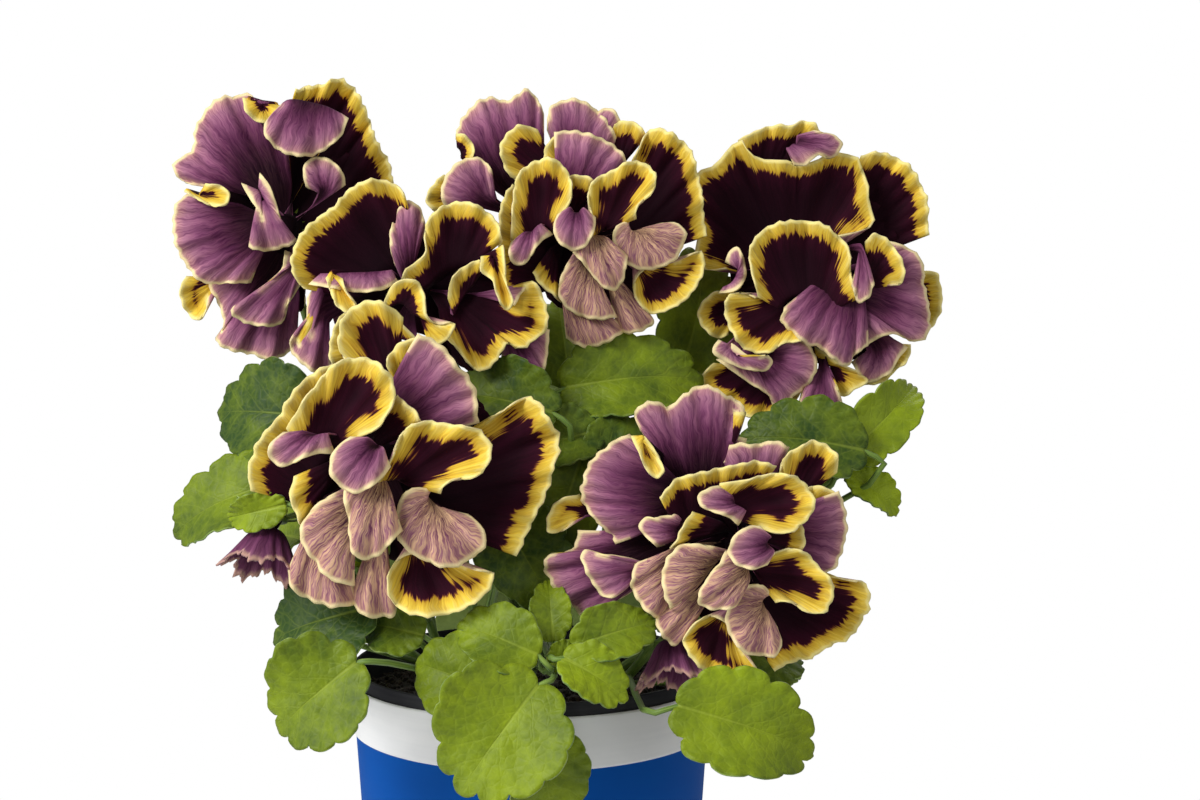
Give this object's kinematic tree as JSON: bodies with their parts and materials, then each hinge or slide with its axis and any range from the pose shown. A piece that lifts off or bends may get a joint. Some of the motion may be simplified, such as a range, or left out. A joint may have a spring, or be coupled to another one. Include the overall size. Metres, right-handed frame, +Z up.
{
  "type": "potted pansy",
  "caption": "Bushy pansy plant with large ruffled two-tone flowers and toothed oval leaves, growing in a small tapered plastic pot of compost.",
  "frame": {"origin": "centre of the pot's flat foot, where it stands", "axes": "+Z up along the pot's axis; -Y towards the plant's best side, which the flowers face; +X to the right of a viewer who looks at that side"},
  "size_m": [0.2352, 0.1649, 0.2758],
  "materials": {
    "pot_plastic": "satin",
    "compost": "matte",
    "foliage": "satin",
    "petals": "velvety"
  },
  "bodies": {
    "root": {"pot": "pot_plastic", "compost": "compost", "leafy_stem_front_left": "foliage", "leafy_stem_front_centre": "foliage", "leafy_stem_front_right": "foliage", "leafy_stem_left": "foliage", "leafy_stem_middle": "foliage", "leafy_stem_right": "foliage", "leafy_stem_back_left": "foliage", "leafy_stem_back_right": "foliage", "petals_upper_left": "petals", "petals_middle_left": "petals", "petals_top_centre": "petals", "petals_upper_right": "petals", "petals_lower_left": "petals", "petals_lower_right": "petals", "petals_nodding_left": "petals", "petals_nodding_right": "petals"}
  },
  "joints": []
}
